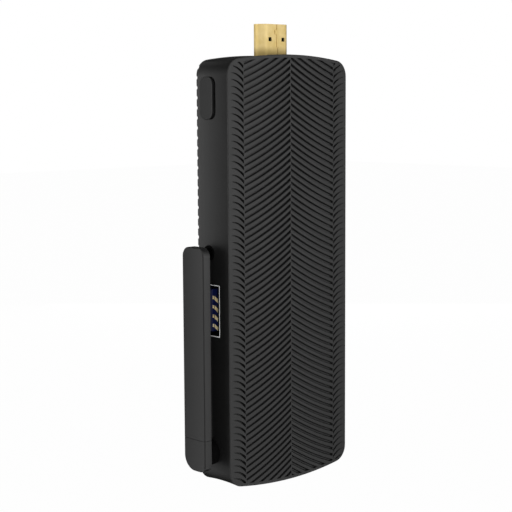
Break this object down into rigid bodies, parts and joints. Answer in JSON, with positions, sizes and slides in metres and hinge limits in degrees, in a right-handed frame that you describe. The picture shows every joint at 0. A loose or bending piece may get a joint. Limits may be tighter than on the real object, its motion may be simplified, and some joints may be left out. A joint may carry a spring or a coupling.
{
  "type": "hdmi stick computer",
  "caption": "Slim case with herringbone ribs and a display plug on one end, holding a small computer; a flat antenna swivels on its side, beside a power button, audio jack and data port.",
  "frame": {"origin": "on the axis of the display plug, where it leaves the crest of the case's top end", "axes": "+Z out along the plug, +Y from the ribbed front towards the rear cover, +X across the case, away from the antenna"},
  "size_m": [0.0651, 0.0169, 0.1606],
  "materials": {
    "case_plastic": "fine matt charcoal moulded plastic",
    "antenna_plastic": "smooth matt charcoal moulded plastic",
    "gold_plating": "satin gold plating",
    "port_nickel": "bright nickel plated sheet",
    "tongue_blue": "navy blue moulded plastic",
    "connector_plastic": "black moulded plastic",
    "screw_steel": "zinc plated steel",
    "board_laminate": "green solder mask on glass laminate",
    "chip_package": "black epoxy package",
    "pad_silicone": "soft grey silicone pad",
    "spreader_aluminium": "plain rolled sheet",
    "choke_ferrite": "moulded ferrite",
    "shield_tin": "tinned steel",
    "lead_jacket": "black coax jacket",
    "plunger_nylon": "ivory moulded nylon",
    "strip_copper": "bare copper strip"
  },
  "bodies": {
    "case": {"front_cover": "case_plastic", "mid_frame": "case_plastic", "rear_cover": "case_plastic", "case_screws": "screw_steel", "mainboard": "board_laminate", "board_screws": "screw_steel", "processor": "chip_package", "thermal_pad": "pad_silicone", "heat_spreader": "spreader_aluminium", "memory_chips": "chip_package", "storage_chip": "chip_package", "power_chip": "chip_package", "power_chokes": "choke_ferrite", "radio_module": "shield_tin", "radio_lead": "lead_jacket", "clock_cell": "shield_tin", "cell_holder": "connector_plastic", "plug_shell": "gold_plating", "plug_insulator": "connector_plastic", "plug_contacts": "gold_plating", "port_shell": "port_nickel", "port_tongue": "tongue_blue", "port_contacts": "gold_plating", "audio_jack": "connector_plastic", "button_switch": "connector_plastic", "inlet_shell": "port_nickel", "inlet_tongue": "connector_plastic", "inlet_contacts": "gold_plating"},
    "antenna": {"antenna_sleeve": "antenna_plastic", "antenna_knuckle": "antenna_plastic", "antenna_hub": "antenna_plastic", "antenna_washer": "screw_steel", "antenna_clip": "screw_steel", "antenna_element": "strip_copper", "antenna_lead": "lead_jacket"},
    "button": {"power_button": "case_plastic", "switch_plunger": "plunger_nylon"}
  },
  "joints": [
    {"name": "antenna_swivel", "type": "hinge", "parent": "case", "child": "antenna", "pos_m": [-0.02865, 0.00145, -0.13685], "axis": [1, 0, 0], "range_deg": [0, 180]},
    {"name": "button_press", "type": "slide", "parent": "case", "child": "button", "axis": [1, 0, 0], "range_m": [0, 0.0004], "stiffness_N_per_m": 1500, "springref_m": -0.0004}
  ]
}
